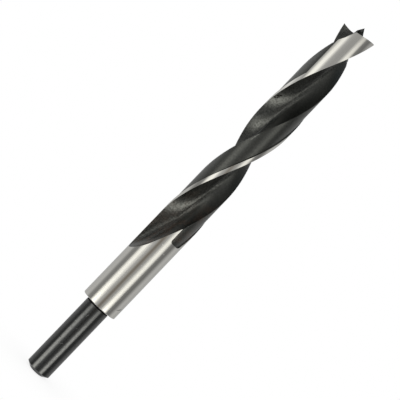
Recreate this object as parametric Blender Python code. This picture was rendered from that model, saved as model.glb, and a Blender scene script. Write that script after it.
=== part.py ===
# Brad-point drill bit for wood, 15 mm, with two helical flutes and a reduced round shank.
# The bit stands on the flat end of its shank, at the origin, with its centre point up along +Z.
# It is turned and ground from one bar, so it is one closed solid.

import math

import bmesh
import bpy

# Driving dimensions, in metres and degrees
cutting_diameter = 0.0150
overall_length = 0.1757          # shank end to centre point
shank_diameter = 0.0100
shank_length = 0.0330
shank_chamfer_length = 0.0012
shank_end_diameter = 0.0063      # flat that the bit stands on
neck_length = 0.0009             # relief groove under the shoulder
neck_depth = 0.0002
shoulder_bevel = 0.0002
plain_length = 0.0232            # round body between the shoulder and the flutes

helix_lead = 0.1074              # one full turn of a flute
spur_bearing = -24.4             # of the first spur about Z, from +X
web_thickness = 0.0031           # least steel between the two flutes
web_bearing = 38.0               # where a flute comes nearest the axis, ahead of its cutting edge
ridge_diameter = 0.0039          # faint ridge where the flute floor meets the back of the next land
ridge_bearing = 61.0
ridge_softness = 0.0003          # the ridge is rounded over this much on each side
floor_reach = 0.45               # share of the way to the ridge over which the floor keeps its direction
land_back_bulge = 0.00025        # how far the back of a land swells into the flute
land_arc = 73.4                  # of each land, seen along the axis
tip_land_arc = 66.0              # of the lands at the tip
narrowing_length = 0.0040        # over which they narrow, where the clearance closes
margin_arc = 13.0                # full-diameter strip behind each cutting edge

run_out_length = 0.0205          # over which a flute rises from full depth to the surface
lift_length = 0.0183             # above the flutes' end, where the leading side leaves the helix
run_out_power = 1.2              # 1 is an even rise, and more is quicker at the surface
mouth_back_arc = 32.0            # rounded corner of a flute's mouth at the back of a land
mouth_back_height = 0.0065
mouth_front_arc = 12.0
mouth_front_height = 0.0025
least_face_arc = 7.2             # of the flute's leading side, where the flute closes

clearance_depth = 0.00042        # the lands are ground back by this behind the margins
clearance_gap = 0.0115           # flutes' end to the end of the clearance
clearance_slot_length = 0.0066   # straight side of the clearance at its shank end
clearance_corner = 0.0010
clearance_lean_arc = 3.0         # over which the sides of the clearance step up
clearance_tip_length = 0.0287    # centre point to where the clearance leaves the margin

spur_drop = 0.0030               # spurs below the centre point
lip_hollow = 0.00115             # lips below the spurs, at the centre
relief_angle = 10.4              # of the faces behind the lips
point_angle = 62.0
point_base_diameter = 0.0030
point_skirt = 0.00025            # width of the steep foot of the centre point
point_skirt_slope = 6.0

# Mesh fineness
twist_step = 6.5                 # degrees of helix between two rings
heel_parts = 5
clearance_parts = 6
margin_parts = 6
face_parts = 6
floor_parts = 3
ridge_parts = 3
back_parts = 5
tip_blend_height = 0.0080        # below the spurs, where the rings start to lean to the shape of the tip
tip_face_rings = (0.66, 0.33, 0.0)      # shares of the way from the centre point's foot to the rim
point_rings = (1.0, 0.55, 0.2)          # shares of the centre point's base radius
corner_rings = (0.0, 0.1, 0.35, 1.0)    # shares of the clearance's corner
solve_steps = 20
sharp_angle = 28.0
tiny = 1e-9
merge_distance = 1e-6

# Sizes that follow from the driving dimensions
full_radius = cutting_diameter / 2
cleared_radius = full_radius - clearance_depth
shank_radius = shank_diameter / 2
web_radius = web_thickness / 2
flute_arc = 180.0 - land_arc
spur_height = overall_length - spur_drop
flutes_end = shank_length + plain_length
lift_height = flutes_end + lift_length
full_depth_height = flutes_end + run_out_length
clearance_end = flutes_end + clearance_gap
slot_top = clearance_end + clearance_slot_length
clearance_top = overall_length - clearance_tip_length
closing_arc = (land_arc + tip_land_arc) / 2
clearance_close = clearance_top + helix_lead * (closing_arc - margin_arc) / 360
narrowing_start = clearance_close - narrowing_length / 2
twist_height = helix_lead * twist_step / 360
tip_base = spur_height - tip_blend_height
land_count = heel_parts + clearance_parts + margin_parts + 3
half_count = land_count + face_parts + floor_parts + ridge_parts + back_parts - 1


def edge_bearing(height):
    """Bearing of the first land's cutting edge."""
    return spur_bearing - 360 * (spur_height - height) / helix_lead


def spread(start, end, parts):
    """Values from start to end, both ends kept."""
    return [start + (end - start) * i / parts for i in range(parts + 1)]


def quadratic(first, middle, last, parts):
    """Points of a quadratic curve, without the first one."""
    points = []
    for i in range(1, parts + 1):
        t = i / parts
        a, b, c = (1 - t) ** 2, 2 * t * (1 - t), t * t
        x = a * first[0] + b * middle[0] + c * last[0]
        y = a * first[1] + b * middle[1] + c * last[1]
        points.append((x, y))
    return points


def polar(radius, bearing):
    angle = math.radians(bearing)
    return radius * math.cos(angle), radius * math.sin(angle)


def toward(start, end, distance):
    """Point at a distance from the start, at most half of the way to the end."""
    share = min(0.5, distance / math.dist(start, end))
    return start[0] + share * (end[0] - start[0]), start[1] + share * (end[1] - start[1])


def rounded(inset, arc, height):
    """Height of a mouth's outline above its lowest line, at an angle in from its side."""
    share = 1 - min(max(inset, 0.0), arc) / arc
    return height * (1 - math.sqrt(max(0.0, 1 - share * share)))


def flute_profile(heel_radius):
    """(bearing, radius) of a flute's section from the cutting edge, at 0, to the back of the next land.

    The face runs in radially and turns along the web circle, the floor rises to the ridge,
    and the back of the next land goes out to its heel.
    """
    corner = (full_radius, 0.0)
    nearest = polar(web_radius, web_bearing)
    face_turn = (web_radius / math.cos(math.radians(web_bearing)), 0.0)
    ridge = polar(ridge_diameter / 2, ridge_bearing)
    reach = floor_reach * math.dist(nearest, ridge)
    floor_turn = (
        nearest[0] - reach * math.sin(math.radians(web_bearing)),
        nearest[1] + reach * math.cos(math.radians(web_bearing)),
    )
    heel = polar(heel_radius, flute_arc)
    run = (heel[0] - ridge[0], heel[1] - ridge[1])
    swell = 2 * land_back_bulge / math.hypot(*run)
    back_turn = ((ridge[0] + heel[0]) / 2 + swell * run[1], (ridge[1] + heel[1]) / 2 - swell * run[0])
    before = toward(ridge, floor_turn, ridge_softness)
    after = toward(ridge, back_turn, ridge_softness)
    points = quadratic(corner, face_turn, nearest, face_parts)
    points += quadratic(nearest, floor_turn, before, floor_parts)
    points += quadratic(before, ridge, after, ridge_parts)
    points += quadratic(after, back_turn, heel, back_parts)
    return [(math.degrees(math.atan2(y, x)), math.hypot(x, y)) for x, y in points]


def arc_at(height):
    """Arc of a land at a height."""
    share = min(1.0, max(0.0, (height - narrowing_start) / narrowing_length))
    return land_arc + share * (tip_land_arc - land_arc)


def land_bearings(height):
    """Bearings across the first land: heel, side of the clearance slot, rear and front of the margin."""
    edge = edge_bearing(max(height, flutes_end))
    heel = edge - arc_at(height)
    front = max(edge, edge_bearing(lift_height))
    edge_there = edge_bearing(max(height, clearance_end))
    margin_rear = min(edge_there, edge_bearing(clearance_top)) - margin_arc
    slot_side = edge_bearing(slot_top) - land_arc
    depth_in = clearance_corner - max(0.0, height - clearance_end)
    if depth_in > 0:
        reach = clearance_corner - math.sqrt(clearance_corner**2 - min(depth_in, clearance_corner) ** 2)
        inset = math.degrees(reach / full_radius)
        margin_rear -= inset
        slot_side += inset
    margin_rear = max(margin_rear, heel)
    slot_side = min(max(slot_side, heel), margin_rear)
    return heel, slot_side, margin_rear, front


def flute_bearing(bearing, height):
    """Bearing of a flute's point: below the lift height the leading side runs straight down."""
    edge = edge_bearing(max(height, flutes_end))
    front = max(edge, edge_bearing(lift_height))
    ridge = max(edge + ridge_bearing, front + least_face_arc)
    if bearing < ridge_bearing:
        return front + bearing / ridge_bearing * (ridge - front)
    back = edge + 180.0 - arc_at(height)
    return ridge + (bearing - ridge_bearing) / (flute_arc - ridge_bearing) * (back - ridge)


def section_point(column, height, cleared):
    """(bearing, radius) of a column of the section: the first land from its heel, then the flute ahead."""
    open_land = cleared and height < clearance_close + tiny
    land_radius = cleared_radius if open_land else full_radius
    heel_radius = full_radius if height < slot_top + tiny else land_radius
    if column >= land_count:
        bearing, radius = profiles[heel_radius][column - land_count]
        return flute_bearing(bearing, height), radius
    bearings = land_bearings(height)
    strip, share = land_strips[column]
    start, end = bearings[strip], bearings[strip + 1]
    if strip == 1:
        lean = min(clearance_lean_arc, (end - start) / 2)
        start += lean if heel_radius > land_radius else 0.0
        end -= lean if full_radius > land_radius else 0.0
    return start + share * (end - start), (heel_radius, land_radius, full_radius)[strip]


def outline_height(column):
    """Height where a column leaves the plain body: the rounded lower outline of a flute's mouth."""
    if column < land_count:
        share = column / (land_count - 1)
        return flutes_end + (1 - share) * mouth_back_height + share * mouth_front_height
    height = flutes_end
    for _ in range(solve_steps):
        bearing = section_point(column, height, False)[0]
        back = rounded(edge_bearing(height) + flute_arc - bearing, mouth_back_arc, mouth_back_height)
        front = rounded(bearing - edge_bearing(lift_height), mouth_front_arc, mouth_front_height)
        height = flutes_end + max(back, front)
    return height


def run_out_share(height, outline):
    """Share of a flute's full depth at a height."""
    share = min(1.0, max(0.0, (height - outline) / (full_depth_height - outline)))
    return 1 - (1 - share) ** run_out_power


def tip_height(x, y):
    """Height of the ground tip over a point of the section: two relieved wings and the centre point."""
    lip = math.radians(spur_bearing)
    along = x * math.cos(lip) + y * math.sin(lip)
    ahead = y * math.cos(lip) - x * math.sin(lip)
    bearing = math.degrees(math.atan2(ahead, along))
    if not ridge_bearing - 180 < bearing <= ridge_bearing:
        ahead = -ahead
    lip_low = spur_height - lip_hollow
    wing = lip_low + lip_hollow * (along / full_radius) ** 2 + math.tan(math.radians(relief_angle)) * ahead
    radius = math.hypot(x, y)
    base = point_base_diameter / 2
    rise = math.tan(math.radians(point_angle / 2))
    point = overall_length - min(radius, base) / rise - point_skirt_slope * max(0.0, radius - base)
    return max(wing, point)


def both_halves(half):
    """The second half is the first, turned half way round."""
    return half + [(bearing + 180, radius, height) for bearing, radius, height in half]


def straight_ring(radius, height, like):
    """A round, level ring with the bearings of another."""
    return [(bearing, radius, height) for bearing, _, _ in like]


def filled(heights, step):
    """The heights, with more between them so that none is over a step apart."""
    result = [heights[0]]
    for low, high in zip(heights, heights[1:]):
        result += spread(low, high, max(1, math.ceil((high - low) / step - tiny)))[1:]
    return result


def fluted_rings():
    """Rings of (bearing, radius, height), from the flutes' end to the rim of the tip's ground faces."""
    outline = [outline_height(column) for column in range(half_count)]

    def ring(heights, cleared):
        half = []
        for column, height in enumerate(heights):
            bearing, radius = section_point(column, height, cleared)
            if column >= land_count:
                radius = full_radius - run_out_share(height, outline[column]) * (full_radius - radius)
            half.append((bearing, radius, height))
        return both_halves(half)

    rings = []
    low_rings = math.ceil((clearance_end - flutes_end) / twist_height)
    for i in range(low_rings + 1):
        rings.append(ring([low + (clearance_end - low) * i / low_rings for low in outline], False))
    corner_heights = [clearance_end + clearance_corner * share for share in corner_rings]
    turns = {slot_top, lift_height, full_depth_height, clearance_top, narrowing_start, clearance_close}
    stations = sorted(h for h in turns | {tip_base} if corner_heights[-1] < h <= tip_base)
    for height in corner_heights + filled([corner_heights[-1]] + stations, twist_height)[1:]:
        rings.append(ring([height] * half_count, True))

    tops = []
    for column in range(half_count):
        height = spur_height
        for _ in range(solve_steps):
            bearing, radius = section_point(column, height, True)
            height = tip_height(*polar(radius, bearing))
        tops.append(height)
    steps = math.ceil((spur_height - tip_base) / twist_height)
    for i in range(1, steps + 1):
        rings.append(ring([tip_base + (top - tip_base) * i / steps for top in tops], True))
    return rings


def tip_rings(rim):
    """Rings from the rim in to the centre point, on the ground faces."""
    base = point_base_diameter / 2
    foot = base + point_skirt
    rings = []
    for share in tip_face_rings:
        rings.append([(b, foot + max(0.0, r - foot) * share if r > foot else r, 0.0) for b, r, _ in rim])
    for share in point_rings:
        rings.append([(b, min(r, base * share), 0.0) for b, r, _ in rim])
    return [[(b, r, tip_height(*polar(r, b))) for b, r, _ in ring] for ring in rings]


def steel(name, color, roughness):
    material = bpy.data.materials.new(name)
    material.use_nodes = True
    shader = material.node_tree.nodes["Principled BSDF"]
    shader.inputs["Base Color"].default_value = (*color, 1.0)
    shader.inputs["Metallic"].default_value = 1.0
    shader.inputs["Roughness"].default_value = roughness
    return material


def build_bit():
    fluted = fluted_rings()
    low = fluted[0]
    plain = [
        straight_ring(shank_end_diameter / 2, 0.0, low),
        straight_ring(shank_radius, shank_chamfer_length, low),
        straight_ring(shank_radius, shank_length - neck_length, low),
        straight_ring(shank_radius - neck_depth, shank_length - neck_length + neck_depth, low),
        straight_ring(shank_radius - neck_depth, shank_length - neck_depth, low),
        straight_ring(shank_radius, shank_length, low),
        straight_ring(full_radius - shoulder_bevel, shank_length, low),
        straight_ring(full_radius, shank_length + shoulder_bevel, low),
    ]
    rings = plain + fluted + tip_rings(fluted[-1])

    mesh = bmesh.new()
    rows = [[mesh.verts.new((*polar(r, b), height)) for b, r, height in ring] for ring in rings]
    around = 2 * half_count
    for row, (lower, upper) in enumerate(zip(rows, rows[1:])):
        for i in range(around):
            j = (i + 1) % around
            corners = (lower[i], lower[j], upper[j], upper[i])
            # Only what is ground to the full diameter is bright: the flutes and the clearance stay black.
            in_flute = row >= len(plain) and i % half_count >= land_count - 1
            is_full = all(math.hypot(v.co.x, v.co.y) > cleared_radius + merge_distance for v in corners)
            face = mesh.faces.new(corners)
            face.material_index = 0 if is_full and not in_flute else 1
    mesh.faces.new(list(reversed(rows[0]))).material_index = 1
    apex = mesh.verts.new((0.0, 0.0, overall_length))
    for i in range(around):
        mesh.faces.new((rows[-1][i], rows[-1][(i + 1) % around], apex)).material_index = 1

    # Strips that have no width at a height close up here.
    bmesh.ops.remove_doubles(mesh, verts=mesh.verts, dist=merge_distance)
    bmesh.ops.dissolve_degenerate(mesh, edges=mesh.edges, dist=merge_distance)
    data = bpy.data.meshes.new("drill_bit")
    mesh.to_mesh(data)
    mesh.free()
    data.materials.append(steel("ground_steel", (0.62, 0.61, 0.58), 0.25))
    data.materials.append(steel("black_oxide", (0.03, 0.03, 0.032), 0.4))
    data.shade_smooth()
    data.set_sharp_from_angle(angle=math.radians(sharp_angle))
    bit = bpy.data.objects.new("drill_bit", data)
    bpy.context.scene.collection.objects.link(bit)


for old in list(bpy.data.objects):
    bpy.data.objects.remove(old, do_unlink=True)
land_strips = [(0, share) for share in spread(0, 1, heel_parts)]
land_strips += [(1, share) for share in spread(0, 1, clearance_parts)]
land_strips += [(2, share) for share in spread(0, 1, margin_parts)]
profiles = {radius: flute_profile(radius) for radius in (full_radius, cleared_radius)}
build_bit()
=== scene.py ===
# Wood drill bit: looks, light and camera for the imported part
import math

import bmesh
import bpy
from mathutils import Matrix, Vector


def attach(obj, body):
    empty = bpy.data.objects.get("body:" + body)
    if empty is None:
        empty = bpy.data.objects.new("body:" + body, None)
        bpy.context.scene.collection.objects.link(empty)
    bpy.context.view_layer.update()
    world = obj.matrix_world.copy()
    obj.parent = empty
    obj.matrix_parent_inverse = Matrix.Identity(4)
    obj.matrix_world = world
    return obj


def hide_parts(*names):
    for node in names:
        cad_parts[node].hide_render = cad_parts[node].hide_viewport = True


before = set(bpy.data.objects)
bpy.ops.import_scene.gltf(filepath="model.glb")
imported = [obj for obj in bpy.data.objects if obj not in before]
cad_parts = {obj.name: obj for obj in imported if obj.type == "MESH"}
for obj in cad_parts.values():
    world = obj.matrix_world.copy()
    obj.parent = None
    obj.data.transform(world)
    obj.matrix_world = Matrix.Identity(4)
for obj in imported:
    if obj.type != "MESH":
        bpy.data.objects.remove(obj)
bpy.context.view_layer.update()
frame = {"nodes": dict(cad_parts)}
print("frame loaded:", ", ".join(frame["nodes"]))

tiny = 1e-6     # in metres, or as a share of a step


# small helpers

def clamp(value):
    return min(1.0, max(0.0, value))


def spread(start, end, parts):
    return [start + (end - start) * i / parts for i in range(parts + 1)]


def onCircle(radius, bearing):
    angle = math.radians(bearing)
    return radius * math.cos(angle), radius * math.sin(angle)


def curveTowards(first, middle, last, parts):
    # quadratic curve that bends towards the middle point, without its first point
    points = []
    for i in range(1, parts + 1):
        t = i / parts
        a, b, c = (1 - t) ** 2, 2 * t * (1 - t), t * t
        x = a * first[0] + b * middle[0] + c * last[0]
        y = a * first[1] + b * middle[1] + c * last[1]
        points.append((x, y))
    return points


def addPiece(name, mesh):
    data = bpy.data.meshes.new(name)
    mesh.to_mesh(data)
    mesh.free()
    piece = bpy.data.objects.new(name, data)
    bpy.context.scene.collection.objects.link(piece)
    return piece


# drill bit, metres and degrees: the solid's form with a finer mesh and softer flutes
bit = {
    "cuttingDiameter": 0.0150,
    "overallLength": 0.1757,
    "shankDiameter": 0.0100,
    "shankLength": 0.0330,
    "shankChamferLength": 0.0012,
    "shankEndDiameter": 0.0063,
    "neckLength": 0.0009,
    "neckDepth": 0.0002,
    "shoulderBevel": 0.0002,
    "plainLength": 0.0232,
    "helixLead": 0.1074,
    "spurBearing": -24.4,
    "webThickness": 0.0031,
    "webBearing": 38.0,
    "ridgeDiameter": 0.0039,
    "ridgeBearing": 73.0,    # further from the cutting edge than the solid's, and rounder
    "ridgeSoftness": 0.0009,
    "floorReach": 0.45,
    "landBackBulge": 0.00025,
    "landArc": 73.4,
    "tipLandArc": 66.0,
    "narrowingLength": 0.0040,
    "marginArc": 13.0,
    "runOutLength": 0.0205,
    "liftLength": 0.0183,
    "runOutPower": 1.2,
    "mouthBackArc": 32.0,
    "mouthBackHeight": 0.0065,
    "mouthFrontArc": 12.0,
    "mouthFrontHeight": 0.0025,
    "leastFaceArc": 7.2,
    "liftSoftness": 2.5,
    "heelBlendLength": 0.0045,
    "clearanceDepth": 0.00042,
    "clearanceGap": 0.0115,
    "clearanceSlotLength": 0.0066,
    "clearanceCorner": 0.0010,
    "clearanceLeanArc": 3.0,
    "clearanceTipLength": 0.0287,
    "spurDrop": 0.0030,
    "lipHollow": 0.00115,
    "reliefAngle": 10.4,
    "pointAngle": 62.0,
    "pointBaseDiameter": 0.0030,
    "pointSkirt": 0.00025,
    "pointSkirtSlope": 6.0,
    "tipBlendHeight": 0.0080,
    "notchHeight": 0.1299,   # a small notch in the first cutting edge
    "notchReach": 0.0008,
    "notchDepth": 0.00014,
    "notchColumns": 7,
    "twistStep": 1.5,        # degrees of helix between two rings
    "heelParts": 8,
    "clearanceParts": 20,
    "marginParts": 12,
    "faceParts": 24,
    "floorParts": 10,
    "ridgeParts": 10,
    "backParts": 20,
    "tipParts": 5,
    "cornerShares": (0.0, 0.05, 0.2, 0.5, 1.0),    # rings up the round corner of the slot
    "solveSteps": 20,
    "sharpAngle": 24.0,
}

fullRadius = bit["cuttingDiameter"] / 2
clearedRadius = fullRadius - bit["clearanceDepth"]
fluteArc = 180 - bit["landArc"]
spurHeight = bit["overallLength"] - bit["spurDrop"]
flutesEnd = bit["shankLength"] + bit["plainLength"]
liftHeight = flutesEnd + bit["liftLength"]
fullDepthHeight = flutesEnd + bit["runOutLength"]
clearanceEnd = flutesEnd + bit["clearanceGap"]
slotTop = clearanceEnd + bit["clearanceSlotLength"]
clearanceTop = bit["overallLength"] - bit["clearanceTipLength"]
closingArc = (bit["landArc"] + bit["tipLandArc"]) / 2
clearanceClose = clearanceTop + bit["helixLead"] * (closingArc - bit["marginArc"]) / 360
narrowingStart = clearanceClose - bit["narrowingLength"] / 2
tipBase = spurHeight - bit["tipBlendHeight"]

# half a ring: the strips of a land (heel, clearance, margin), then a flute up to the next heel
landParts = (bit["heelParts"], bit["clearanceParts"], bit["marginParts"])
landStrips = [(strip, share) for strip, parts in enumerate(landParts) for share in spread(0, 1, parts)]
landCount = len(landStrips)
fluteParts = bit["faceParts"] + bit["floorParts"] + bit["ridgeParts"] + bit["backParts"]
halfCount = landCount + fluteParts - 1


def edgeBearing(height):
    return bit["spurBearing"] - 360 * (spurHeight - height) / bit["helixLead"]


def toward(start, end, distance):
    # at most half way
    share = min(0.5, distance / math.dist(start, end))
    return start[0] + share * (end[0] - start[0]), start[1] + share * (end[1] - start[1])


def fluteProfile(heelRadius):
    # bearings and radii of a flute's section, from the cutting edge to the heel of the next land
    webRadius = bit["webThickness"] / 2
    web = math.radians(bit["webBearing"])
    nearest = onCircle(webRadius, bit["webBearing"])
    ridge = onCircle(bit["ridgeDiameter"] / 2, bit["ridgeBearing"])
    reach = bit["floorReach"] * math.dist(nearest, ridge)
    floorTurn = (nearest[0] - reach * math.sin(web), nearest[1] + reach * math.cos(web))
    heel = onCircle(heelRadius, fluteArc)
    run = (heel[0] - ridge[0], heel[1] - ridge[1])
    swell = 2 * bit["landBackBulge"] / math.hypot(*run)
    backTurn = ((ridge[0] + heel[0]) / 2 + swell * run[1], (ridge[1] + heel[1]) / 2 - swell * run[0])
    before = toward(ridge, floorTurn, bit["ridgeSoftness"])
    after = toward(ridge, backTurn, bit["ridgeSoftness"])
    points = curveTowards((fullRadius, 0), (webRadius / math.cos(web), 0), nearest, bit["faceParts"])
    points += curveTowards(nearest, floorTurn, before, bit["floorParts"])
    points += curveTowards(before, ridge, after, bit["ridgeParts"])
    points += curveTowards(after, backTurn, heel, bit["backParts"])
    return [(math.degrees(math.atan2(y, x)), math.hypot(x, y)) for x, y in points]


profiles = {radius: fluteProfile(radius) for radius in (fullRadius, clearedRadius)}


def arcAt(height):
    share = clamp((height - narrowingStart) / bit["narrowingLength"])
    return bit["landArc"] + share * (bit["tipLandArc"] - bit["landArc"])


def softGreater(first, second):
    # the greater of two bearings, with a soft change from one to the other
    return (first + second + math.hypot(first - second, bit["liftSoftness"])) / 2


def landBearings(height):
    # heel, side of the clearance slot, rear of the margin, front
    edge = edgeBearing(max(height, flutesEnd))
    heel = edge - arcAt(height)
    front = softGreater(edge, edgeBearing(liftHeight))
    edgeThere = edgeBearing(max(height, clearanceEnd))
    marginRear = min(edgeThere, edgeBearing(clearanceTop)) - bit["marginArc"]
    slotSide = edgeBearing(slotTop) - bit["landArc"]
    corner = bit["clearanceCorner"]
    depthIn = corner - max(0.0, height - clearanceEnd)
    if depthIn > 0:
        # the slot ends in round corners
        inset = math.degrees((corner - math.sqrt(corner**2 - depthIn**2)) / fullRadius)
        marginRear -= inset
        slotSide += inset
    marginRear = max(marginRear, heel)
    return heel, min(max(slotSide, heel), marginRear), marginRear, front


def fluteBearing(bearing, height):
    edge = edgeBearing(max(height, flutesEnd))
    front = softGreater(edge, edgeBearing(liftHeight))
    ridge = softGreater(edge + bit["ridgeBearing"], front + bit["leastFaceArc"])
    if bearing < bit["ridgeBearing"]:
        return front + bearing / bit["ridgeBearing"] * (ridge - front)
    share = (bearing - bit["ridgeBearing"]) / (fluteArc - bit["ridgeBearing"])
    return ridge + share * (edge + 180 - arcAt(height) - ridge)


def sectionPoint(column, height, cleared):
    # bearing and radius of a column of the mesh, before the flutes run out
    openLand = cleared and height < clearanceClose + tiny
    landRadius = clearedRadius if openLand else fullRadius
    settled = clamp((height - slotTop) / bit["heelBlendLength"])
    heelRadius = fullRadius + settled * (landRadius - fullRadius)
    if column >= landCount:
        ends = profiles[fullRadius][column - landCount], profiles[landRadius][column - landCount]
        bearing, radius = (first + settled * (second - first) for first, second in zip(*ends))
        return fluteBearing(bearing, height), radius
    bearings = landBearings(height)
    strip, share = landStrips[column]
    start, end = bearings[strip], bearings[strip + 1]
    if strip == 1:
        # the sides of the clearance lean outwards
        lean = min(bit["clearanceLeanArc"], (end - start) / 2)
        start += lean if heelRadius > landRadius else 0.0
        end -= lean if fullRadius > landRadius else 0.0
    return start + share * (end - start), (heelRadius, landRadius, fullRadius)[strip]


def roundedSide(inset, arc, height):
    share = 1 - clamp(inset / arc)
    return height * (1 - math.sqrt(1 - share * share))


def outlineHeight(column):
    # where a column leaves the plain body: the lower outline of a flute's mouth
    if column < landCount:
        share = column / (landCount - 1)
        return flutesEnd + (1 - share) * bit["mouthBackHeight"] + share * bit["mouthFrontHeight"]
    height = flutesEnd
    for _ in range(bit["solveSteps"]):
        bearing = sectionPoint(column, height, False)[0]
        fromBack = edgeBearing(height) + fluteArc - bearing
        fromFront = bearing - edgeBearing(liftHeight)
        back = roundedSide(fromBack, bit["mouthBackArc"], bit["mouthBackHeight"])
        front = roundedSide(fromFront, bit["mouthFrontArc"], bit["mouthFrontHeight"])
        height = flutesEnd + max(back, front)
    return height


def runOutShare(height, outline):
    share = clamp((height - outline) / (fullDepthHeight - outline))
    return 1 - (1 - share) ** bit["runOutPower"]


def tipHeight(x, y):
    # relieved wings with hollow lips, and the centre point
    lip = math.radians(bit["spurBearing"])
    along = x * math.cos(lip) + y * math.sin(lip)
    ahead = y * math.cos(lip) - x * math.sin(lip)
    if not bit["ridgeBearing"] - 180 < math.degrees(math.atan2(ahead, along)) <= bit["ridgeBearing"]:
        ahead = -ahead
    hollow = bit["lipHollow"]
    wing = spurHeight - hollow + hollow * (along / fullRadius) ** 2
    wing += math.tan(math.radians(bit["reliefAngle"])) * ahead
    radius = math.hypot(x, y)
    base = bit["pointBaseDiameter"] / 2
    rise = math.tan(math.radians(bit["pointAngle"] / 2))
    skirt = bit["pointSkirtSlope"] * max(0.0, radius - base)
    return max(wing, bit["overallLength"] - min(radius, base) / rise - skirt)


def topHeight(column):
    # where a column meets the lips
    height = spurHeight
    for _ in range(bit["solveSteps"]):
        bearing, radius = sectionPoint(column, height, True)
        height = tipHeight(*onCircle(radius, bearing))
    return height


def fill(heights, step):
    # the same heights with others between them, at most a step apart
    result = [heights[0]]
    for low, high in zip(heights, heights[1:]):
        result += spread(low, high, max(1, math.ceil((high - low) / step - tiny)))[1:]
    return result


def flutedRing(heights, outline, cleared):
    half = []
    for column, height in enumerate(heights):
        bearing, radius = sectionPoint(column, height, cleared)
        if column >= landCount:
            radius = fullRadius - runOutShare(height, outline[column]) * (fullRadius - radius)
        half.append((bearing, radius, height))
    return half + [(bearing + 180, radius, height) for bearing, radius, height in half]


def flutedRings():
    step = bit["helixLead"] * bit["twistStep"] / 360
    outline = [outlineHeight(column) for column in range(halfCount)]
    rings = []
    lowSteps = math.ceil((clearanceEnd - flutesEnd) / step)
    for i in range(lowSteps + 1):
        heights = [low + (clearanceEnd - low) * i / lowSteps for low in outline]
        rings.append(flutedRing(heights, outline, False))

    corner = [clearanceEnd + bit["clearanceCorner"] * share for share in bit["cornerShares"]]
    stations = {slotTop, liftHeight, fullDepthHeight, clearanceTop, narrowingStart, clearanceClose, tipBase}
    stations = sorted(height for height in stations if corner[-1] < height <= tipBase)
    for height in corner + fill([corner[-1]] + stations, step)[1:]:
        rings.append(flutedRing([height] * halfCount, outline, True))

    tops = [topHeight(column) for column in range(halfCount)]
    tipSteps = math.ceil((spurHeight - tipBase) / step)
    for i in range(1, tipSteps + 1):
        heights = [tipBase + (top - tipBase) * i / tipSteps for top in tops]
        rings.append(flutedRing(heights, outline, True))
    return rings


def tipRings(rim):
    # from the rim in to the foot of the centre point, and up the point
    base = bit["pointBaseDiameter"] / 2
    foot = base + bit["pointSkirt"]
    rings = []
    for i in reversed(range(bit["tipParts"])):
        share = i / bit["tipParts"]
        rings.append([(b, foot + max(0.0, r - foot) * share if r > foot else r) for b, r, _ in rim])
    for i in range(bit["tipParts"], 0, -1):
        share = i / bit["tipParts"]
        rings.append([(b, min(r, base * share)) for b, r, _ in rim])
    return [[(b, r, tipHeight(*onCircle(r, b))) for b, r in ring] for ring in rings]


def lowerRings():
    # radius, height and the finish above it, from the foot up to the flutes
    shankRadius = bit["shankDiameter"] / 2
    neckRadius = shankRadius - bit["neckDepth"]
    neckStart = bit["shankLength"] - bit["neckLength"]
    return [
        (bit["shankEndDiameter"] / 2, 0.0, "turned"),
        (shankRadius, bit["shankChamferLength"], "turned"),
        (shankRadius, neckStart, "neck"),
        (neckRadius, neckStart + bit["neckDepth"], "neck"),
        (neckRadius, bit["shankLength"] - bit["neckDepth"], "neck"),
        (shankRadius, bit["shankLength"], "turned"),
        (fullRadius - bit["shoulderBevel"], bit["shankLength"], "steel"),
        (fullRadius, bit["shankLength"] + bit["shoulderBevel"], "steel"),
    ]


def cutNotch(row):
    # a dent in one cutting edge
    for column in range(landCount - bit["notchColumns"], landCount + bit["notchColumns"]):
        point = row[column].co
        reach = abs(point.z - bit["notchHeight"]) / bit["notchReach"]
        aside = abs(column - landCount + 1) / bit["notchColumns"]
        depth = bit["notchDepth"] * max(0.0, 1 - reach**2) * max(0.0, 1 - aside**2)
        radius = math.hypot(point.x, point.y)
        if depth > 0 and radius > fullRadius - depth:
            point.xy = point.xy * ((fullRadius - depth) / radius)


def noteAcross(row, layer):
    # how far across a flute a point lies, from the cutting edge to the next heel, and 1 on a land
    for i, vertex in enumerate(row):
        column = i % halfCount - landCount + 1
        vertex[layer] = column / fluteParts if column >= 0 else 1.0


finishSlots = {"steel": 0, "turned": 1, "fluted": 2, "neck": 3}


def addSides(mesh, rows, finishes):
    # the lower rows have their finish given, and above them only the full-diameter lands are ground
    for row, (lower, upper) in enumerate(zip(rows, rows[1:])):
        for i in range(2 * halfCount):
            j = (i + 1) % (2 * halfCount)
            corners = (lower[i], lower[j], upper[j], upper[i])
            if row < len(finishes):
                finish = finishes[row]
            else:
                isFull = all(math.hypot(v.co.x, v.co.y) > clearedRadius + tiny for v in corners)
                onLand = i % halfCount < landCount - 1
                finish = "steel" if isFull and onLand else "fluted"
            mesh.faces.new(corners).material_index = finishSlots[finish]


def keepCorners(mesh):
    # crisp where two finishes meet, and at every real corner
    for face in mesh.faces:
        face.smooth = True
    for edge in mesh.edges:
        first, last = edge.link_faces[0], edge.link_faces[-1]
        isCorner = first.normal.angle(last.normal, 0) > math.radians(bit["sharpAngle"])
        edge.smooth = not isCorner and first.material_index == last.material_index


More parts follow.
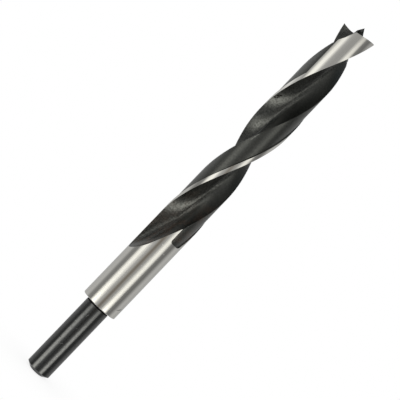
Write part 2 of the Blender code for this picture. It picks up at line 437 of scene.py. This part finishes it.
def buildBit():
    fluted = flutedRings()
    lower = lowerRings()
    rings = [[(bearing, radius, height) for bearing, _, _ in fluted[0]] for radius, height, _ in lower]
    rings += fluted + tipRings(fluted[-1])

    mesh = bmesh.new()
    across = mesh.verts.layers.float.new("across")
    rows = [[mesh.verts.new((*onCircle(r, b), h)) for b, r, h in ring] for ring in rings]
    for row in rows:
        cutNotch(row)
        noteAcross(row, across)
    addSides(mesh, rows, [finish for _, _, finish in lower])
    mesh.faces.new(list(reversed(rows[0]))).material_index = finishSlots["turned"]
    apex = mesh.verts.new((0, 0, bit["overallLength"]))
    last = rows[-1]
    for first, second in zip(last, last[1:] + last[:1]):
        mesh.faces.new((first, second, apex)).material_index = finishSlots["fluted"]
    bmesh.ops.remove_doubles(mesh, verts=mesh.verts, dist=tiny)
    bmesh.ops.dissolve_degenerate(mesh, edges=mesh.edges, dist=tiny)
    keepCorners(mesh)
    return addPiece("drillBit", mesh)


drillBit = buildBit()
print("bit built:", len(drillBit.data.polygons), "faces")


# finishes

def newMaterial(name):
    material = bpy.data.materials.new(name)
    material.use_nodes = True
    return material, material.node_tree, material.node_tree.nodes["Principled BSDF"]


def addNode(tree, kind, **settings):
    node = tree.nodes.new(kind)
    for key, value in settings.items():
        if key in node.inputs:
            node.inputs[key].default_value = value
        else:
            setattr(node, key, value)
    return node


def plug(tree, value, socket):
    # a number or a colour is set, and an output is linked
    if isinstance(value, (int, float)):
        socket.default_value = value
    elif isinstance(value, tuple):
        socket.default_value = (*value, 1)
    else:
        tree.links.new(value, socket)


def dress(tree, shader, looks):
    for name, value in looks.items():
        plug(tree, value, shader.inputs[name])


def addMath(tree, operation, first, second=0.0):
    node = addNode(tree, "ShaderNodeMath", operation=operation)
    plug(tree, first, node.inputs[0])
    plug(tree, second, node.inputs[1])
    return node.outputs[0]


def without(tree, level, share):
    # a level less a share of it
    return addMath(tree, "MULTIPLY", level, addMath(tree, "SUBTRACT", 1.0, share))


def mixColor(tree, share, first, second):
    # first where the share is 0, second where it is 1
    node = addNode(tree, "ShaderNodeMix", data_type="RGBA")
    plug(tree, share, node.inputs["Factor"])
    plug(tree, first, node.inputs["A"])
    plug(tree, second, node.inputs["B"])
    return node.outputs["Result"]


def ramp(tree, source, positions, values):
    node = addNode(tree, "ShaderNodeValToRGB")
    elements = node.color_ramp.elements
    while len(elements) < len(positions):
        elements.new(0.5)
    for element, position, value in zip(elements, positions, values):
        element.position = position
        element.color = (*value, 1) if isinstance(value, tuple) else (value, value, value, 1)
    tree.links.new(source, node.inputs["Fac"])
    return node.outputs["Color"]


def pattern(tree, stretch, scale, detail, roughness=0.5):
    # noise fixed to the piece, drawn out along the axes with a small stretch
    place = addNode(tree, "ShaderNodeTexCoord")
    mapping = addNode(tree, "ShaderNodeMapping", Scale=stretch)
    tree.links.new(place.outputs["Object"], mapping.inputs["Vector"])
    node = addNode(tree, "ShaderNodeTexNoise", Scale=scale, Detail=detail, Roughness=roughness)
    tree.links.new(mapping.outputs["Vector"], node.inputs["Vector"])
    return node.outputs["Fac"]


def bump(tree, shader, height, strength, distance):
    node = addNode(tree, "ShaderNodeBump", Distance=distance)
    plug(tree, strength, node.inputs["Strength"])
    tree.links.new(height, node.inputs["Height"])
    tree.links.new(node.outputs["Normal"], shader.inputs["Normal"])


# nicks, scratches and a painted highlight in millimetres: centre, half width and half length
# the last number of each is its lean from the bit's axis, in degrees
wear = {
    "steelDark": [
        (6.48, -3.78, 36.95, 0.12, 0.80, 50),
        (6.75, -3.27, 37.45, 0.10, 0.65, 42),
        (6.15, -4.30, 36.65, 0.10, 0.40, 60),
    ],
    "steelPale": [
        (4.24, -6.19, 62.81, 0.22, 0.30, 20),
        (1.47, -7.34, 65.19, 0.13, 0.34, -44),
        (1.23, -7.39, 54.51, 0.14, 0.20, 0),
    ],
    "shankDark": [
        (-2.17, -4.46, 15.73, 0.22, 0.24, 0),
        (-2.55, -4.25, 13.10, 0.12, 0.20, 0),
    ],
    "shankPale": [
        (-0.16, -4.98, 14.25, 0.10, 0.50, 46),
        (1.78, -4.67, 9.60, 0.22, 0.28, 0),
        (0.00, -4.99, 21.84, 0.08, 0.36, 46),
        (-0.37, -4.97, 27.93, 0.12, 0.75, 12),
        (1.75, -4.68, 17.90, 0.14, 0.20, 30),
        (-2.30, -4.44, 23.60, 0.14, 0.26, 0),
        (-2.05, -4.56, 20.20, 0.12, 0.18, 0),
    ],
    "fluteDark": [
        (-6.41, -2.75, 133.05, 0.30, 0.62, 75),
        (-5.86, -2.93, 134.20, 0.34, 0.85, 62),
        (-5.55, -2.60, 133.70, 0.30, 0.50, 20),
        (-5.20, -2.90, 134.90, 0.26, 0.60, 62),
    ],
    # the first three draw a pale line along one heel edge: a small chip and a painted highlight on the edge;
    # the others are rubbed spots
    "flutePaleWearAndPaintedHighlight": [
        (-1.79, -6.84, 115.38, 0.08, 0.50, 25),
        (-1.51, -6.90, 116.66, 0.11, 0.55, 25),
        (-1.22, -6.97, 117.94, 0.07, 0.60, 25),
        (-3.20, -6.30, 96.00, 0.12, 0.14, 0),
        (2.90, -6.45, 104.60, 0.10, 0.22, 30),
        (0.40, -6.90, 101.20, 0.10, 0.12, 0),
    ],
    "depth": 1.2,            # how far in from its centre a mark still shows
    "edges": {"stretch": (1.0, 1.0, 1.0), "scale": 6500.0, "detail": 2.0},
    "raggedness": 0.9,
    "strength": 1.9,
}


def marks(tree, names):
    # 1 inside the marks of a list, with ragged edges
    place = addNode(tree, "ShaderNodeTexCoord").outputs["Object"]
    ragged = addMath(tree, "MULTIPLY", pattern(tree, **wear["edges"]), wear["raggedness"])
    total = 0.0
    for x, y, z, halfWidth, halfLength, lean in wear[names]:
        local = addNode(tree, "ShaderNodeMapping", vector_type="TEXTURE")
        local.inputs["Location"].default_value = (x / 1000, y / 1000, z / 1000)
        local.inputs["Rotation"].default_value = (0, math.radians(lean), 0)
        local.inputs["Scale"].default_value = (halfWidth / 1000, wear["depth"] / 1000, halfLength / 1000)
        tree.links.new(place, local.inputs["Vector"])
        reach = addNode(tree, "ShaderNodeVectorMath", operation="LENGTH")
        tree.links.new(local.outputs["Vector"], reach.inputs[0])
        fading = addMath(tree, "ADD", reach.outputs["Value"], ragged)
        total = addMath(tree, "MAXIMUM", total, addMath(tree, "SUBTRACT", wear["strength"], fading))
    return addMath(tree, "MINIMUM", total, 1.0)


steelFinish = {
    "colors": [(0.580, 0.570, 0.535), (0.600, 0.592, 0.556)],
    "colorsAt": (0.35, 0.6),
    "scratch": (0.14, 0.135, 0.13),
    "nick": (0.90, 0.88, 0.84),
    "roughness": (0.10, 0.125),
    "roughnessAt": (0.3, 0.7),
    "rings": {"stretch": (0.03, 0.03, 1.0), "scale": 5400.0, "detail": 3.0},
    "clouds": {"stretch": (1.0, 1.0, 0.35), "scale": 260.0, "detail": 3.0},
    "ringStrength": 0.25,
    "ringDepth": 0.0000003,
}


def groundSteel():
    finish = steelFinish
    material, tree, shader = newMaterial("groundSteel")
    rings = pattern(tree, **finish["rings"])
    clouds = pattern(tree, **finish["clouds"])
    color = ramp(tree, clouds, finish["colorsAt"], finish["colors"])
    color = mixColor(tree, marks(tree, "steelDark"), color, finish["scratch"])
    color = mixColor(tree, marks(tree, "steelPale"), color, finish["nick"])
    rough = ramp(tree, rings, finish["roughnessAt"], finish["roughness"])
    dress(tree, shader, {"Base Color": color, "Roughness": rough, "Metallic": 1.0})
    bump(tree, shader, rings, finish["ringStrength"], finish["ringDepth"])
    return material


turnedFinish = {
    "color": (0.0033, 0.0037, 0.0036),
    "worn": (0.10, 0.10, 0.095),
    "tint": (0.985, 1.0, 0.985),
    "shine": (0.36, 0.52, 0.56),    # least on the handled spots
    "shineAt": (0.34, 0.52, 0.7),
    "markDulling": 0.32,
    "roughness": (0.112, 0.137),
    "roughnessAt": (0.3, 0.7),
    "ior": 1.70,
    "rings": {"stretch": (0.04, 0.04, 1.0), "scale": 3000.0, "detail": 2.0},
    "clouds": {"stretch": (1.0, 1.0, 0.6), "scale": 500.0, "detail": 2.0},
    "spots": {"stretch": (1.0, 1.0, 0.5), "scale": 2400.0, "detail": 3.0, "roughness": 0.6},
    "ringStrength": 0.3,
    "ringDepth": 0.0000002,
}


def turnedBlack():
    finish = turnedFinish
    material, tree, shader = newMaterial("turnedBlack")
    clouds = pattern(tree, **finish["clouds"])
    shine = ramp(tree, pattern(tree, **finish["spots"]), finish["shineAt"], finish["shine"])
    dull = addMath(tree, "MULTIPLY", marks(tree, "shankDark"), finish["markDulling"])
    dress(tree, shader, {
        "Base Color": mixColor(tree, marks(tree, "shankPale"), finish["color"], finish["worn"]),
        "Roughness": ramp(tree, clouds, finish["roughnessAt"], finish["roughness"]),
        "IOR": finish["ior"],
        "Specular IOR Level": addMath(tree, "SUBTRACT", shine, dull),
        "Specular Tint": finish["tint"],
    })
    bump(tree, shader, pattern(tree, **finish["rings"]), finish["ringStrength"], finish["ringDepth"])
    return material


flutedFinish = {
    "color": (0.0030, 0.0034, 0.0029),
    "brown": (0.0230, 0.0120, 0.0070),
    "brownAt": (0.42, 0.66),
    "brownHeights": (0.057, 0.060, 0.079, 0.094),    # where the flutes run out
    "brownShares": (0.0, 1.0, 0.6, 0.0),
    "brownSpan": 0.200,
    "chipped": (0.0045, 0.0030, 0.0022),
    "chipDulling": 0.93,
    # pale of the rubbed spots, and of the painted highlight along a heel edge
    "worn": (0.26, 0.26, 0.24),
    "tint": (0.98, 1.0, 0.935),
    "shine": 0.5,
    "ior": 1.68,
    "roughness": (0.18, 0.275),
    "roughnessAt": (0.3, 0.7),
    "plainRoughness": 0.31,    # where there is no grain
    "grain": {"stretch": (1.0, 1.0, 1.0), "scale": 1650.0, "detail": 3.0, "roughness": 0.6},
    "patches": {"stretch": (1.0, 1.0, 0.6), "scale": 420.0, "detail": 3.0, "roughness": 0.6},
    "grainStrength": 0.5,
    "grainDepth": 0.000023,
    "speckle": 0.76,
    "speckleAt": (0.37, 0.5, 0.63),
    # across a flute, from 0 at the cutting edge to 1 at the next heel and on the lands
    "graininess": (1.0, 0.4, 0.4),
    "graininessAt": (0.45, 0.64, 0.99),
    # painted shade: the shine falls off towards the heel, where the flute lies in shade
    "heelShade": (1.0, 0.6, 0.6, 1.0),
    "heelShadeAt": (0.66, 0.86, 0.98, 1.0),
}


def flutedColor(tree, dark):
    # black with a brown tinge where the flutes run out, darker chips, rubbed spots, and a painted highlight
    # along one heel edge
    finish = flutedFinish
    split = addNode(tree, "ShaderNodeSeparateXYZ")
    tree.links.new(addNode(tree, "ShaderNodeTexCoord").outputs["Object"], split.inputs[0])
    height = addMath(tree, "DIVIDE", split.outputs["Z"], finish["brownSpan"])
    stations = [station / finish["brownSpan"] for station in finish["brownHeights"]]
    patches = ramp(tree, pattern(tree, **finish["patches"]), finish["brownAt"], (0.0, 1.0))
    browned = addMath(tree, "MULTIPLY", patches, ramp(tree, height, stations, finish["brownShares"]))
    color = mixColor(tree, browned, finish["color"], finish["brown"])
    color = mixColor(tree, dark, color, finish["chipped"])
    return mixColor(tree, marks(tree, "flutePaleWearAndPaintedHighlight"), color, finish["worn"])


def flutedBlack():
    finish = flutedFinish
    material, tree, shader = newMaterial("flutedBlack")
    grain = pattern(tree, **finish["grain"])
    across = addNode(tree, "ShaderNodeAttribute", attribute_name="across").outputs["Fac"]
    grainy = ramp(tree, across, finish["graininessAt"], finish["graininess"])
    dark = marks(tree, "fluteDark")

    plain, speckle = finish["plainRoughness"], finish["speckle"]
    rough = ramp(tree, grain, finish["roughnessAt"], [level - plain for level in finish["roughness"]])
    rough = addMath(tree, "ADD", addMath(tree, "MULTIPLY", grainy, rough), plain)
    speckles = ramp(tree, grain, finish["speckleAt"], (speckle, speckle / 2, 0.0))
    shine = addMath(tree, "SUBTRACT", 1 + speckle / 2, addMath(tree, "MULTIPLY", speckles, grainy))
    shine = without(tree, shine, addMath(tree, "MULTIPLY", dark, finish["chipDulling"]))
    # painted shade near the heel
    shine = addMath(tree, "MULTIPLY", shine, ramp(tree, across, finish["heelShadeAt"], finish["heelShade"]))
    dress(tree, shader, {
        "Base Color": flutedColor(tree, dark),
        "Roughness": rough,
        "IOR": finish["ior"],
        "Specular IOR Level": addMath(tree, "MULTIPLY", shine, finish["shine"]),
        "Specular Tint": finish["tint"],
    })
    strength = addMath(tree, "MULTIPLY", grainy, finish["grainStrength"])
    bump(tree, shader, grain, strength, finish["grainDepth"])
    return material


neckFinish = {"Base Color": (0.006, 0.005, 0.005), "Roughness": 0.6, "Specular IOR Level": 0.12}


def neckBlack():
    # scale in the groove, where the wheel doesn't reach
    material, tree, shader = newMaterial("neckBlack")
    dress(tree, shader, neckFinish)
    return material


for finished in (groundSteel(), turnedBlack(), flutedBlack(), neckBlack()):    # in the order of finishSlots
    drillBit.data.materials.append(finished)
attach(drillBit, "root")
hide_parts("drill_bit")
print("finishes made")


# studio: a wide dome with two tall soft boxes in front, which the camera sees only in reflections
# levels round the bit are by degrees from the camera's side, and heights by degrees above the horizon
studio = {
    "domeRadius": 8.0,
    "domeSegments": 48,
    "walls": {
        "sides": [
            (-180, 0.50), (-132, 0.62), (-108, 0.68), (-98, 0.62), (-88, 0.38), (-78, 0.29), (-66, 0.32),
            (-24, 0.56), (-12, 0.54), (0, 0.51), (14, 0.49), (24, 0.46), (62, 0.28), (80, 0.22), (90, 0.38),
            (97, 0.54), (105, 0.64), (117, 0.65), (130, 0.57), (180, 0.50),
        ],
        "heights": [
            (-90, 1.3), (-64, 1.3), (-52, 0.8), (-35, 1.0), (14, 1.0), (31, 0.95), (39, 0.5), (46, 0.08),
            (52, 0.0), (60, 0.0), (68, 0.9), (76, 1.4), (90, 1.4),
        ],
    },
    "lean": 17.0,            # the dark top comes down on the left and goes up on the right
    "leftBox": {
        "sides": [(-64, 0.0), (-55, 0.62), (-49, 0.95), (-36, 1.0), (-29.5, 0.56), (-21, 0.08), (-14, 0.0)],
        "heights": [
            (-50, 0.0), (-38, 0.12), (-30, 0.35), (-22, 0.75), (-16, 1.0), (-7.5, 1.0), (-5.8, 0.255),
            (2, 0.272), (6, 0.28), (13, 0.29), (17, 0.26), (20, 0.08), (25, 0.0),
        ],
    },
    "rightBox": {
        "sides": [(20, 0.0), (30, 0.5), (37, 0.95), (44, 1.0), (50.5, 0.85), (54.5, 0.4), (60, 0.0)],
        "heights": [
            (-60, 0.0), (-46, 0.8), (-36, 1.0), (-7.5, 1.0), (-5.8, 0.27), (2, 0.262), (6, 0.24), (10, 0.25),
            (16.5, 0.29), (19, 0.0),
        ],
    },
    "boxLevel": 3.9,
    "boxTint": (1.0, 0.985, 0.93),
    "boxSpread": 0.4,        # the boxes stand closer together lower down
    "boxSpreadBelow": -8,
    # a pale strip high on the left, and darker patches high and low on the right
    "strip": {
        "sides": [(-125, 0.3), (-105, 1.0), (-76, 0.9), (-62, 0.25), (-55, 0.0)],
        "heights": [(5, 0.0), (11, 0.8), (15, 1.0), (19, 0.8), (24, 0.0)],
    },
    "stripLevel": 0.5,
    "patch": {
        "sides": [(84, 0.0), (100, 0.6), (150, 0.6), (170, 0.0)],
        "heights": [(16, 0.0), (22, 1.0), (60, 1.0), (70, 0.0)],
    },
    "lowPatch": {
        "sides": [(58, 0.0), (70, 0.9), (104, 0.9), (116, 0.0)],
        "heights": [(-64, 0.0), (-52, 1.0), (-14, 1.0), (-11.5, 0.3), (-10, 0.0)],
    },
    # the dark camera between the boxes, the warm tint of what is round it, and a cool tint high on the right
    "cameraShade": {
        "sides": [(-12, 0.0), (-5, 0.30), (-1, 0.52), (5, 0.50), (12, 0.16), (17, 0.0)],
        "heights": [(-20, 0.3), (-8, 1.0), (4, 0.9), (12, 0.2), (16, 0.1), (24, 0.0)],
    },
    "warmth": (0.0, 0.20, 0.42),
    "warmHeights": [(-8.5, 0.0), (-6, 1.0), (4, 1.0), (12, 0.6)],
    "coolness": (0.15, 0.02, -0.06),
    "coolSide": {
        "sides": [(55, 0.0), (75, 1.0), (140, 1.0), (165, 0.0)],
        "heights": [(26, 0.0), (36, 1.0), (60, 1.0), (75, 0.0)],
    },
}


def byAngle(tree, angle, limit, stops):
    # level read from stops in degrees, between -limit and limit
    share = addNode(tree, "ShaderNodeMapRange")
    share.inputs["From Min"].default_value = math.radians(-limit)
    share.inputs["From Max"].default_value = math.radians(limit)
    tree.links.new(angle, share.inputs["Value"])
    positions = [(degrees + limit) / (2 * limit) for degrees, _ in stops]
    return ramp(tree, share.outputs["Result"], positions, [level for _, level in stops])


def spot(tree, around, above, name):
    sides = byAngle(tree, around, 180, studio[name]["sides"])
    return addMath(tree, "MULTIPLY", sides, byAngle(tree, above, 90, studio[name]["heights"]))


def domeColor(tree):
    direction = addNode(tree, "ShaderNodeVectorMath", operation="NORMALIZE")
    tree.links.new(addNode(tree, "ShaderNodeTexCoord").outputs["Object"], direction.inputs[0])
    split = addNode(tree, "ShaderNodeSeparateXYZ")
    tree.links.new(direction.outputs["Vector"], split.inputs[0])
    around = addMath(tree, "ARCTAN2", split.outputs["X"], addMath(tree, "MULTIPLY", split.outputs["Y"], -1.0))
    above = addMath(tree, "ARCSINE", split.outputs["Z"])

    leaning = addMath(tree, "MULTIPLY", split.outputs["X"], math.radians(studio["lean"]))
    level = spot(tree, around, addMath(tree, "SUBTRACT", above, leaning), "walls")
    shade = spot(tree, around, above, "cameraShade")
    level = without(tree, level, shade)
    for name in ("patch", "lowPatch"):
        level = without(tree, level, spot(tree, around, above, name))
    strip = addMath(tree, "MULTIPLY", spot(tree, around, above, "strip"), studio["stripLevel"])
    level = addMath(tree, "ADD", level, strip)

    below = addMath(tree, "SUBTRACT", math.radians(studio["boxSpreadBelow"]), above)
    closer = addMath(tree, "MULTIPLY", addMath(tree, "MAXIMUM", below, 0.0), studio["boxSpread"])
    boxAngle = addMath(tree, "MULTIPLY", around, addMath(tree, "ADD", closer, 1.0))
    boxes = 0.0
    for name in ("leftBox", "rightBox"):
        box = addMath(tree, "MULTIPLY", spot(tree, boxAngle, above, name), studio["boxLevel"])
        boxes = addMath(tree, "ADD", boxes, box)

    # red, green and blue: the tints take a little from the walls, and the boxes are a little warm
    warmed = addMath(tree, "MULTIPLY", shade, byAngle(tree, above, 90, studio["warmHeights"]))
    cooled = spot(tree, around, above, "coolSide")
    color = addNode(tree, "ShaderNodeCombineXYZ")
    tints = zip(color.inputs, studio["warmth"], studio["coolness"], studio["boxTint"])
    for socket, warm, cool, share in tints:
        wall = addMath(tree, "SUBTRACT", 1.0, addMath(tree, "MULTIPLY", warmed, warm))
        wall = addMath(tree, "SUBTRACT", wall, addMath(tree, "MULTIPLY", cooled, cool))
        wall = addMath(tree, "MULTIPLY", level, wall)
        plug(tree, addMath(tree, "ADD", wall, addMath(tree, "MULTIPLY", boxes, share)), socket)
    return color.outputs["Vector"]


def addDome():
    mesh = bmesh.new()
    segments, radius = studio["domeSegments"], studio["domeRadius"]
    bmesh.ops.create_uvsphere(mesh, u_segments=segments, v_segments=segments // 2, radius=radius)
    dome = addPiece("dome", mesh)
    material, tree, shader = newMaterial("domeCloth")
    tree.nodes.remove(shader)
    shine = addNode(tree, "ShaderNodeEmission", Strength=1.0)
    tree.links.new(domeColor(tree), shine.inputs["Color"])
    tree.links.new(shine.outputs[0], tree.nodes["Material Output"].inputs["Surface"])
    dome.data.materials.append(material)
    dome.visible_camera = False


topLamp = {"size": 0.9, "height": 0.9, "level": 1.0}


def addTopLamp():
    # lights the floor, and stays out of the bit's reflections
    light = bpy.data.lights.new("topLight", "AREA")
    light.shape = "SQUARE"
    light.size = topLamp["size"]
    light.energy = topLamp["level"] * (math.pi * topLamp["height"]) ** 2
    lamp = bpy.data.objects.new("topLight", light)
    lamp.location = (0, 0, topLamp["height"])
    lamp.visible_camera = False
    lamp.visible_glossy = False
    bpy.context.scene.collection.objects.link(lamp)


floorLook = {
    "size": 6.0,
    "paint": {"Base Color": (0.9, 0.9, 0.9), "Roughness": 1.0, "Specular IOR Level": 0.0},
    # the shadow stays near the foot, and further out the floor is as white as the backdrop
    "whiteness": {"From Min": 0.006, "From Max": 0.035, "To Min": 0.86, "To Max": 1.0},
}


def seenBy(tree, *rays):
    # 1 for these rays, and 0 for all others
    path = addNode(tree, "ShaderNodeLightPath")
    total = 0.0
    for ray in rays:
        total = addMath(tree, "MAXIMUM", total, path.outputs[ray])
    return total


def addFloor():
    bpy.ops.mesh.primitive_plane_add(size=floorLook["size"], location=(0, 0, 0))
    floor = bpy.context.object
    floor.name = "floor"
    material, tree, shader = newMaterial("paleFloor")
    dress(tree, shader, floorLook["paint"])
    reach = addNode(tree, "ShaderNodeVectorMath", operation="LENGTH")
    tree.links.new(addNode(tree, "ShaderNodeTexCoord").outputs["Object"], reach.inputs[0])
    fade = addNode(tree, "ShaderNodeMapRange", **floorLook["whiteness"])
    tree.links.new(reach.outputs["Value"], fade.inputs["Value"])
    seen = seenBy(tree, "Is Camera Ray", "Is Glossy Ray", "Is Transmission Ray")
    white = addNode(tree, "ShaderNodeEmission", Strength=1.0)
    mix = addNode(tree, "ShaderNodeMixShader")
    tree.links.new(addMath(tree, "MULTIPLY", fade.outputs["Result"], seen), mix.inputs["Fac"])
    tree.links.new(shader.outputs[0], mix.inputs[1])
    tree.links.new(white.outputs[0], mix.inputs[2])
    tree.links.new(mix.outputs[0], tree.nodes["Material Output"].inputs["Surface"])
    floor.data.materials.append(material)
    floor.visible_glossy = False
    floor.visible_shadow = False


def whiteWorld():
    world = bpy.data.worlds.new("studio")
    world.use_nodes = True
    background = world.node_tree.nodes["Background"]
    background.inputs["Color"].default_value = (1, 1, 1, 1)
    background.inputs["Strength"].default_value = 1.0
    bpy.context.scene.world = world


addDome()
addTopLamp()
addFloor()
whiteWorld()
bpy.context.scene.view_settings.view_transform = "Standard"
print("studio set")


# camera: a little below the middle and looking up a little, rolled so that the bit lies across the picture
view = {
    "distance": 0.350,
    "middle": 0.08654,       # height of the bit at the middle of the picture
    "tilt": 2.818,
    "roll": 43.80,
    "lens": 85.28,
    "sensor": 36.0,
    "nearest": 0.01,
}


def addCamera():
    tilt = math.radians(view["tilt"])
    roll = math.radians(view["roll"])
    right = Vector((1, 0, 0))
    up = Vector((0, -math.sin(tilt), math.cos(tilt)))
    back = Vector((0, -math.cos(tilt), -math.sin(tilt)))
    rolledRight = math.cos(roll) * right + math.sin(roll) * up
    rolledUp = math.cos(roll) * up - math.sin(roll) * right
    height = view["middle"] - view["distance"] * math.tan(tilt)
    camera = bpy.data.objects.new("camera", bpy.data.cameras.new("camera"))
    camera.data.lens = view["lens"]
    camera.data.sensor_width = view["sensor"]
    camera.data.clip_start = view["nearest"]
    turn = Matrix((rolledRight, rolledUp, back)).transposed().to_4x4()
    camera.matrix_world = Matrix.Translation((0, -view["distance"], height)) @ turn
    bpy.context.scene.collection.objects.link(camera)
    bpy.context.scene.camera = camera


addCamera()
bpy.context.view_layer.update()
print("camera placed")
